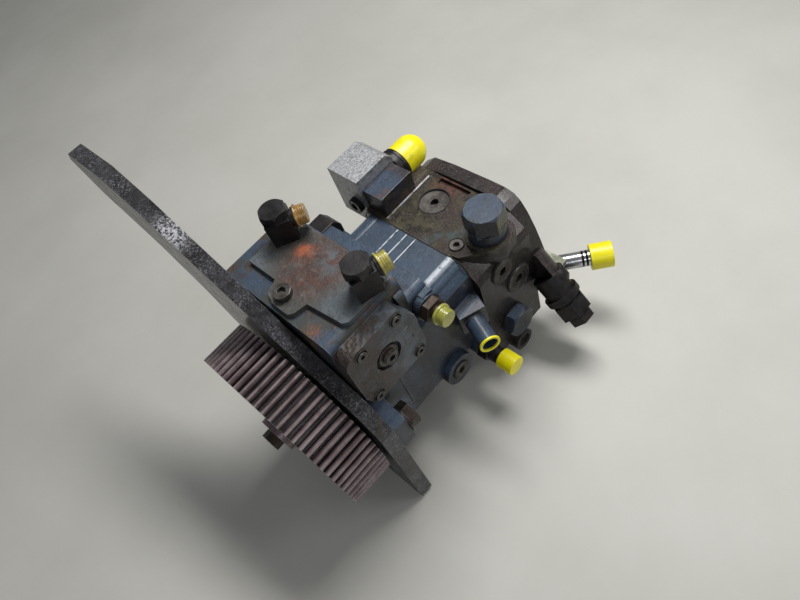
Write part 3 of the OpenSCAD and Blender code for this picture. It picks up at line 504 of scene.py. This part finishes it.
round_mm = {"pump_housing": 1.6, "port_plate": 1.6, "charge_housing": 1.8, "adapter_plate": 0.9,
            "near_servo_cover": 1.2, "far_servo_cover": 1.2, "control_cover": 0.8,
            "drive_gear": 0.22, "flange_block_a": 0.9, "port_block_a": 1.2, "flange_block_b": 1.0,
            "far_elbow": 1.2, "relief_plugs": 0.9, "port_caps": 1.2, "rear_fitting": 1.0,
            "rear_fitting_plug": 0.9, "drain_fitting": 1.0, "control_elbow_bolts": 0.4,
            "low_fitting": 0.7, "gauge_cap": 0.8, "control_caps": 0.6, "control_elbows": 0.7,
            "flange_bolts": 0.8, "gear_bolt": 0.8}
for name, o in nodes.items():
    weld = o.modifiers.new("weld", "WELD")
    weld.merge_threshold = 0.00002
    flat = o.modifiers.new("flat", "DECIMATE")
    flat.decimate_type = "DISSOLVE"
    flat.angle_limit = math.radians(0.4)
    bev = o.modifiers.new("round", "BEVEL")
    bev.width = round_mm.get(name, 0.4) / 1000
    bev.segments = 1 if name == "drive_gear" else 2
    bev.limit_method = "ANGLE"
    bev.angle_limit = math.radians(32)
    soft = o.modifiers.new("soft", "WEIGHTED_NORMAL")
    soft.keep_sharp = True
    soft.weight = 90

# ---- small pieces on the CAD parts ---------------------------------------------------------

def heading(a):
    return Vector((math.cos(math.radians(a)), math.sin(math.radians(a)), 0))


def sweep(name, points, radius, material, body="pump_body", closed=False):
    """A round bead or wire that follows a row of points, in millimetres."""
    cu = bpy.data.curves.new(name, "CURVE")
    cu.dimensions = "3D"
    cu.bevel_depth = radius / 1000
    cu.bevel_resolution = 3
    cu.use_fill_caps = True
    sp = cu.splines.new("POLY")
    sp.points.add(len(points) - 1)
    for k, q in enumerate(points):
        sp.points[k].co = (q[0] / 1000, q[1] / 1000, q[2] / 1000, 1)
    sp.use_cyclic_u = closed
    tmp = bpy.data.objects.new(name, cu)
    me = bpy.data.meshes.new_from_object(tmp)
    bpy.data.objects.remove(tmp)
    for f in me.polygons:
        f.use_smooth = True
    o = bpy.data.objects.new(name, me)
    o.data.materials.append(material)
    bpy.context.scene.collection.objects.link(o)
    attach(o, body)
    return o


def coil(name, centre, axis, radius, wire, material, turns=1.0, pitch=0.0, body="pump_body"):
    """A ring (pitch 0) or a thread of some turns around an axis, in millimetres."""
    axis = Vector(axis).normalized()
    u = axis.orthogonal().normalized()
    v = axis.cross(u)
    count = int(48 * turns)
    pts = []
    for k in range(count + (1 if pitch else 0)):
        a = 2 * math.pi * k / 48
        pts.append(Vector(centre) + u * radius * math.cos(a) + v * radius * math.sin(a)
                   + axis * pitch * k / 48)
    return sweep(name, pts, wire, material, body, closed=not pitch)


amber = looks_by_node["control_caps"]
for i, (y, a) in enumerate(((54, -33), (-54, -18))):
    for k in range(3):
        coil(f"cap_rib_{i}_{k}", Vector((79, y, 147)) + heading(a) * (19.6 + 2.1 * k), heading(a),
             9.0, 0.45, amber)
for k in range(3):
    coil(f"gauge_rib_{k}", (114, -90.8 - 2.0 * k, 71), (0, 1, 0), 8.5, 0.4, green)
coil("stop_thread", (55, -85.6, 79), (0, 1, 0), 6.9, 0.35, oily_screw, turns=2.6, pitch=1.3)
coil("plug_ring", (208, -65.5, 70.7), (0, 0, 1), 18.6, 0.7, rubber)
coil("side_plug_ring", (201, -81.0, -58), (0, 1, 0), 16.3, 0.8, rubber)
for i, (x, z, r) in enumerate(((200, 29, 14.2), (219, -6, 16.2))):
    coil(f"socket_ring_{i}", (x, -80.6, z), (0, 1, 0), r, 0.9, rubber)
    coil(f"socket_rim_{i}", (x, -82.3, z), (0, 1, 0), r - 1.2, 0.5, oily_screw)
coil("big_socket_ring", (214, 10, 64.6), (0, 0, 1), 16.4, 0.9, rubber)
coil("small_socket_ring", (183, -46, 65.8), (0, 0, 1), 7.2, 0.6, rubber)
coil("low_socket_ring", (118, -77.4, -52), (0, 1, 0), 10.6, 0.8, rubber)
coil("low_thread", (156, -90.6, -60), (0, 1, 0), 9.0, 0.4, black, turns=4.0, pitch=-1.5)
coil("collar_ring", (228, 74, 72.5), (1, 0, 0), 18.5, 0.6, black)
seam = []
for cy, cz, a0 in ((-56, 51, 180), (56, 51, 90)):
    for k in range(7):
        a = math.radians(a0 - 15 * k)
        seam.append((168.5, cy + 14.1 * math.cos(a), cz + 14.1 * math.sin(a)))
sweep("seam_bead", [(168.5, -70.1, -40)] + seam, 0.55, rubber)
for i, (x, z) in enumerate(((34, 110), (75, 110), (29, 47), (83, 47))):
    coil(f"cover_washer_{i}", (x, -82.3, z), (0, 1, 0), 6.3, 0.55, oily_screw)
corners = [(75, 90), (84, 90), (84, 72), (75, 72)]
sweep("cover_frame", [(x, -82.1, z) for x, z in corners], 0.45, looks_by_node["near_servo_cover"],
      closed=True)

# ---- stage, light and camera ---------------------------------------------------------------

def floor_material():
    m = Mat("pale_floor")
    c = m.mix(m.noise(3, 6, 0.6, 0.3, 0.7), srgb(188, 187, 180), srgb(198, 197, 191))
    c = m.mix(m.math("MULTIPLY", m.noise(60, 5, 0.7, 0.6, 0.75), 0.2), c, srgb(178, 175, 166))
    return m.finish(c, 0.55, 0.0, 0.4)


floor_half = 6.0
floor_gap = 0.0005
low = cad_box[0][2]
bm = bmesh.new()
bmesh.ops.create_grid(bm, x_segments=8, y_segments=8, size=floor_half)
me = bpy.data.meshes.new("floor")
bm.to_mesh(me)
bm.free()
floor = bpy.data.objects.new("floor", me)
floor.location = (0.1, 0, low - floor_gap)
floor.data.materials.append(floor_material())
bpy.context.scene.collection.objects.link(floor)

world = bpy.data.worlds.new("world")
bpy.context.scene.world = world
world.use_nodes = True
world.node_tree.nodes["Background"].inputs[0].default_value = (0.93, 0.96, 1.0, 1)
world.node_tree.nodes["Background"].inputs[1].default_value = 0.17


def area(name, at, to, size, watts, color=(1, 1, 1)):
    d = bpy.data.lights.new(name, "AREA")
    d.shape = "RECTANGLE"
    d.size, d.size_y = size
    d.energy = watts
    d.color = color
    o = bpy.data.objects.new(name, d)
    bpy.context.scene.collection.objects.link(o)
    o.location = at
    o.rotation_euler = (Vector(to) - Vector(at)).to_track_quat("-Z", "Y").to_euler()


area("key", (0.72, 0.10, 1.30), (0.1, 0, 0), (1.0, 0.28), 21, (1.0, 0.99, 0.97))
area("side", (-0.5, -1.0, 0.8), (0.1, 0, 0), (0.9, 0.30), 2.2, (0.95, 0.97, 1.0))
area("rim", (0.9, -0.9, 0.7), (0.15, 0, 0), (0.5, 0.3), 2.5)

cam = bpy.data.cameras.new("camera")
cam.sensor_width = 36
cam.sensor_fit = "HORIZONTAL"
cam.lens = 29.25
cam.clip_start = 0.01
camera = bpy.data.objects.new("camera", cam)
camera_at = (-0.0509, -0.3643, 0.5414)
right = Vector((0.65707, -0.70694, -0.26170))
up = Vector((0.70608, 0.45558, 0.54213))
back = -Vector((0.26403, 0.54100, -0.79851))
turn = Matrix((right, up, back)).transposed().to_4x4()
camera.matrix_world = Matrix.Translation(camera_at) @ turn
bpy.context.scene.collection.objects.link(camera)
bpy.context.scene.camera = camera
bpy.context.scene.view_settings.view_transform = "Standard"
